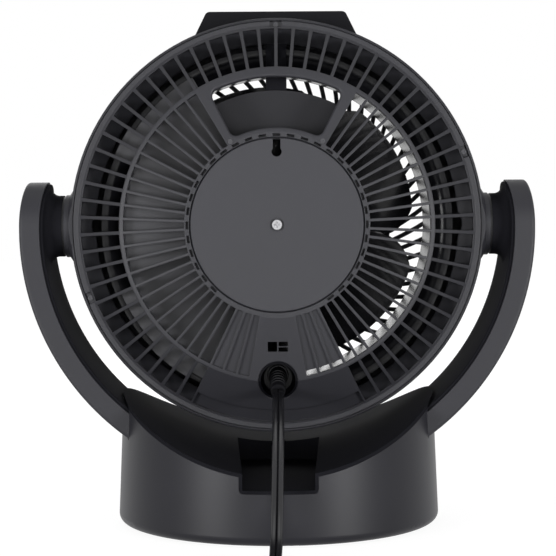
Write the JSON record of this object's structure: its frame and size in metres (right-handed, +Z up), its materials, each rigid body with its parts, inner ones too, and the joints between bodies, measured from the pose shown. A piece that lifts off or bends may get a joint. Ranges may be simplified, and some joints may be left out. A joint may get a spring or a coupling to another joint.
{
  "type": "fan heater",
  "caption": "Tilting fan heater: a round guarded head with a hand-hole and cord inlet at its rear, held between the arms of a yoke on a round base.",
  "frame": {"origin": "floor level under the centre of the round base, in the plane of the tilt axis", "axes": "+Z up, +X along the tilt axis towards the right arm as seen by someone facing the outlet, -Y the way the air leaves, +Y the rear with the cord inlet"},
  "size_m": [0.3726, 0.4832, 0.376],
  "materials": {
    "charcoal_plastic": "fine satin texture",
    "black_gloss_plastic": "gloss",
    "grey_plastic": "matte",
    "rubber": "matte",
    "cord_sheath": "satin vinyl",
    "steel": "zinc plated",
    "motor_metal": "laminated",
    "aluminium": "mill",
    "heat_plastic": "matte",
    "bearing_plastic": "satin",
    "board": "satin",
    "display_glass": "polished"
  },
  "bodies": {
    "base": {"base_shell": "charcoal_plastic", "base_top": "charcoal_plastic", "base_floor": "charcoal_plastic", "base_feet": "rubber", "base_floor_screws": "steel", "right_arm_shell": "charcoal_plastic", "left_arm_shell": "charcoal_plastic", "arm_screws": "steel", "right_arm_liner": "charcoal_plastic", "left_arm_liner": "charcoal_plastic", "right_pivot_bush": "bearing_plastic", "left_pivot_bush": "bearing_plastic", "mains_cord": "cord_sheath", "cord_coil": "cord_sheath", "cord_tie": "cord_sheath", "mains_plug": "cord_sheath", "plug_pins": "steel"},
    "head": {"drum_shell": "charcoal_plastic", "rear_grille": "charcoal_plastic", "hub_cover": "charcoal_plastic", "front_bezel": "charcoal_plastic", "front_grille": "charcoal_plastic", "control_pod": "charcoal_plastic", "handle_pocket": "charcoal_plastic", "fan_duct": "black_gloss_plastic", "cord_cup": "black_gloss_plastic", "front_hub_cap": "black_gloss_plastic", "pod_panel": "black_gloss_plastic", "wire_channel": "black_gloss_plastic", "electronics_cover": "grey_plastic", "electronics_tray": "grey_plastic", "cord_gland": "rubber", "pivot_washers": "rubber", "right_trunnion": "steel", "left_trunnion": "steel", "trunnion_screws": "steel", "pivot_screws": "steel", "rim_screws": "steel", "motor_screws": "steel", "pocket_screws": "steel", "hub_screw": "steel", "motor_bearings": "steel", "motor_stator": "motor_metal", "motor_housing": "aluminium", "heater_fins": "aluminium", "heater_frame": "heat_plastic", "thermal_cutout": "heat_plastic", "power_board": "board", "control_board": "board", "display_window": "display_glass"},
    "fan": {"fan_impeller": "black_gloss_plastic", "fan_nut": "black_gloss_plastic", "motor_shaft": "steel", "motor_rotor": "motor_metal"},
    "button_power": {"button_power": "grey_plastic"},
    "button_heat": {"button_heat": "grey_plastic"},
    "button_speed": {"button_speed": "grey_plastic"},
    "button_timer": {"button_timer": "grey_plastic"}
  },
  "joints": [
    {"name": "head_tilt", "type": "hinge", "parent": "base", "child": "head", "pos_m": [0, 0, 0.217], "axis": [-1, 0, 0], "range_deg": [-10, 60], "deforming": ["mains_cord"]},
    {"name": "fan_spin", "type": "hinge", "parent": "head", "child": "fan", "pos_m": [0, 0, 0.217], "axis": [0, 1, 0], "continuous": true},
    {"name": "button_power_press", "type": "slide", "parent": "head", "child": "button_power", "axis": [0, 0, -1], "range_m": [0, 0.0008], "stiffness_N_per_m": 600, "springref_m": -0.0004},
    {"name": "button_heat_press", "type": "slide", "parent": "head", "child": "button_heat", "axis": [0, 0, -1], "range_m": [0, 0.0008], "stiffness_N_per_m": 600, "springref_m": -0.0004},
    {"name": "button_speed_press", "type": "slide", "parent": "head", "child": "button_speed", "axis": [0, 0, -1], "range_m": [0, 0.0008], "stiffness_N_per_m": 600, "springref_m": -0.0004},
    {"name": "button_timer_press", "type": "slide", "parent": "head", "child": "button_timer", "axis": [0, 0, -1], "range_m": [0, 0.0008], "stiffness_N_per_m": 600, "springref_m": -0.0004}
  ]
}
